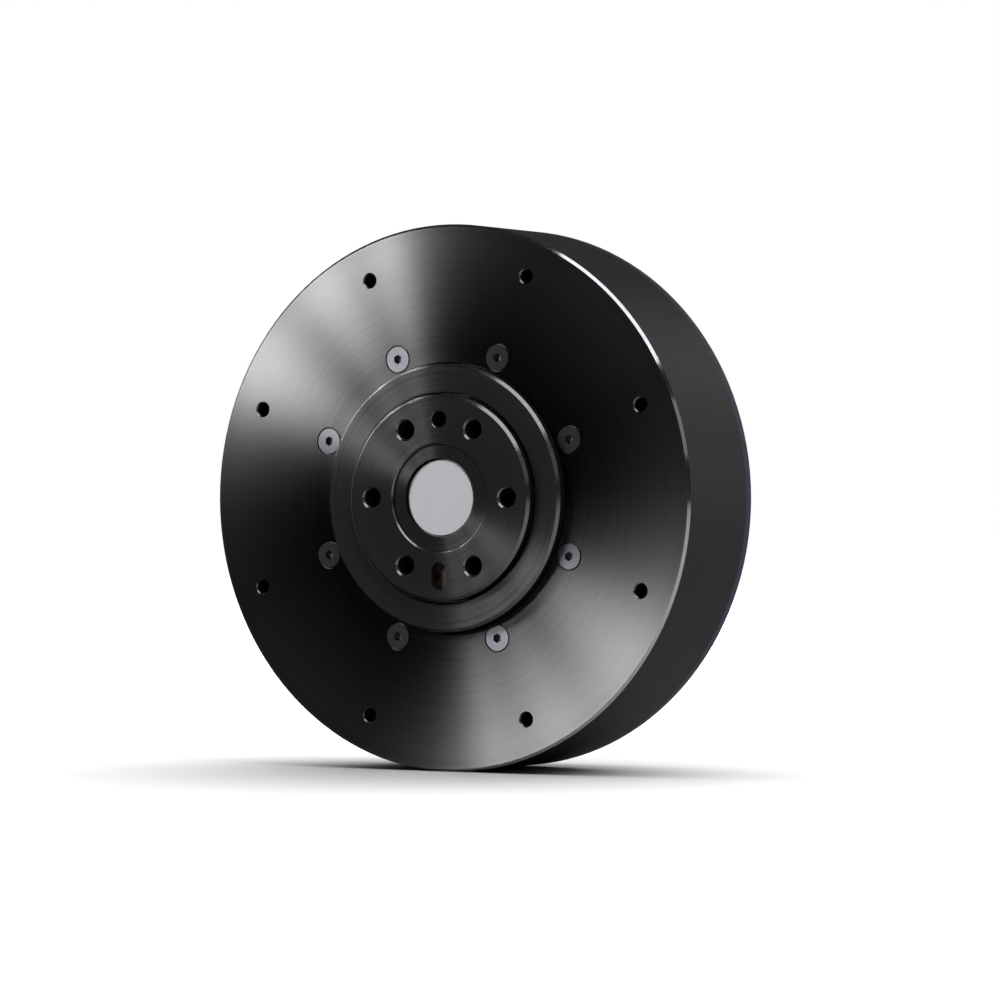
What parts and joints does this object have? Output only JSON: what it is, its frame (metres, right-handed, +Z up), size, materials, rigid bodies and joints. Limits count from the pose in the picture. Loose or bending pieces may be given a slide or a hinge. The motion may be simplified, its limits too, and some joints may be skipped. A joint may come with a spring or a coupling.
{
  "type": "robot joint actuator",
  "caption": "Round flat robot joint actuator: motor, planetary reduction and driver in one case, with a bolted output hub on its front face.",
  "frame": {"origin": "centre of the output hub's face, on the shaft axis", "axes": "+Y runs along the shaft from the output face to the rear, +Z up, +X to the right as seen from the output side"},
  "size_m": [0.098, 0.0384, 0.098],
  "materials": {
    "case_aluminium": "fine blasted black anodised aluminium",
    "rim_aluminium": "smooth turned black anodised aluminium",
    "face_aluminium": "turned black anodised aluminium with fine concentric marks",
    "cap_metal": "satin light grey metal",
    "dark_screw_steel": "dark heat-treated steel",
    "spring_steel": "phosphated spring steel",
    "bearing_steel": "polished bearing steel",
    "cage_polymer": "moulded tan polymer",
    "seal_rubber": "dark nitrile rubber",
    "gear_steel": "ground gear steel",
    "bush_bronze": "sintered bronze",
    "carrier_steel": "brown tempered steel",
    "rotor_aluminium": "black anodised aluminium",
    "flux_steel": "plated soft steel",
    "magnet": "nickel-plated magnet",
    "lamination": "stacked electrical steel",
    "copper_wire": "enamelled copper wire",
    "lead_insulation": "silicone wire insulation",
    "circuit_board": "green solder mask on glass laminate",
    "chip_plastic": "black moulded epoxy",
    "thermal_silicone": "grey-blue silicone pad",
    "connector_yellow": "amber nylon",
    "connector_white": "off-white nylon"
  },
  "bodies": {
    "housing": {"front_housing": "case_aluminium", "rear_cover": "rim_aluminium", "bearing_housing": "face_aluminium", "gearbox_screws": "dark_screw_steel", "case_screws": "dark_screw_steel", "bearing_circlip": "spring_steel", "output_bearing_outer_race": "bearing_steel", "output_bearing_seals": "seal_rubber", "ring_gear": "gear_steel", "stator_core": "lamination", "stator_windings": "copper_wire", "phase_leads": "lead_insulation", "rear_bearing_outer_race": "bearing_steel", "driver_board": "circuit_board", "encoder_sensor": "chip_plastic", "power_switches": "chip_plastic", "thermal_pad": "thermal_silicone", "board_components": "chip_plastic", "power_connector": "connector_yellow", "signal_connector": "connector_white", "service_connector": "connector_white", "electronics_cover": "case_aluminium", "cover_screws": "dark_screw_steel"},
    "output": {"output_hub": "face_aluminium", "centre_cap": "cap_metal", "output_bearing_inner_race": "bearing_steel", "planet_carrier": "carrier_steel", "carrier_rear_plate": "carrier_steel", "carrier_screws": "dark_screw_steel", "carrier_post_screws": "dark_screw_steel", "planet_pins": "bearing_steel", "planet_washers": "bush_bronze", "sun_bearing_outer_race": "bearing_steel"},
    "rotor": {"sun_gear": "gear_steel", "sun_bearing_inner_race": "bearing_steel", "rotor_bell": "rotor_aluminium", "rotor_flux_ring": "flux_steel", "rotor_magnets": "magnet", "rear_bearing_inner_race": "bearing_steel", "encoder_magnet": "magnet"},
    "planet_1": {"planet_gear_1": "gear_steel", "planet_bush_1": "bush_bronze"},
    "planet_2": {"planet_gear_2": "gear_steel", "planet_bush_2": "bush_bronze"},
    "planet_3": {"planet_gear_3": "gear_steel", "planet_bush_3": "bush_bronze"},
    "output_bearing_balls_set": {"output_bearing_balls": "bearing_steel", "output_bearing_cage": "cage_polymer"},
    "rear_bearing_balls_set": {"rear_bearing_balls": "bearing_steel", "rear_bearing_cage": "cage_polymer"},
    "sun_bearing_balls_set": {"sun_bearing_balls": "bearing_steel", "sun_bearing_cage": "cage_polymer"}
  },
  "joints": [
    {"name": "output_spin", "type": "hinge", "parent": "housing", "child": "output", "pos_m": [0, 0, 0], "axis": [0, -1, 0], "continuous": true},
    {"name": "rotor_spin", "type": "hinge", "parent": "housing", "child": "rotor", "pos_m": [0, 0, 0], "axis": [0, -1, 0], "continuous": true},
    {"name": "planet_1_spin", "type": "hinge", "parent": "output", "child": "planet_1", "pos_m": [0, 0, 0.0135], "axis": [0, -1, 0], "continuous": true},
    {"name": "planet_2_spin", "type": "hinge", "parent": "output", "child": "planet_2", "pos_m": [-0.01169, 0, -0.00675], "axis": [0, -1, 0], "continuous": true},
    {"name": "planet_3_spin", "type": "hinge", "parent": "output", "child": "planet_3", "pos_m": [0.01169, 0, -0.00675], "axis": [0, -1, 0], "continuous": true},
    {"name": "output_bearing_cage_spin", "type": "hinge", "parent": "housing", "child": "output_bearing_balls_set", "pos_m": [0, 0, 0], "axis": [0, -1, 0], "continuous": true},
    {"name": "rear_bearing_cage_spin", "type": "hinge", "parent": "housing", "child": "rear_bearing_balls_set", "pos_m": [0, 0, 0], "axis": [0, -1, 0], "continuous": true},
    {"name": "sun_bearing_cage_spin", "type": "hinge", "parent": "output", "child": "sun_bearing_balls_set", "pos_m": [0, 0, 0], "axis": [0, -1, 0], "continuous": true}
  ],
  "couplings": [
    {"joint": "rotor_spin", "follows": "output_spin", "ratio": 9},
    {"joint": "planet_1_spin", "follows": "output_spin", "ratio": -2.2857},
    {"joint": "planet_2_spin", "follows": "output_spin", "ratio": -2.2857},
    {"joint": "planet_3_spin", "follows": "output_spin", "ratio": -2.2857},
    {"joint": "output_bearing_cage_spin", "follows": "output_spin", "ratio": 0.46468},
    {"joint": "rear_bearing_cage_spin", "follows": "output_spin", "ratio": 3.57},
    {"joint": "sun_bearing_cage_spin", "follows": "output_spin", "ratio": 3.1733}
  ]
}
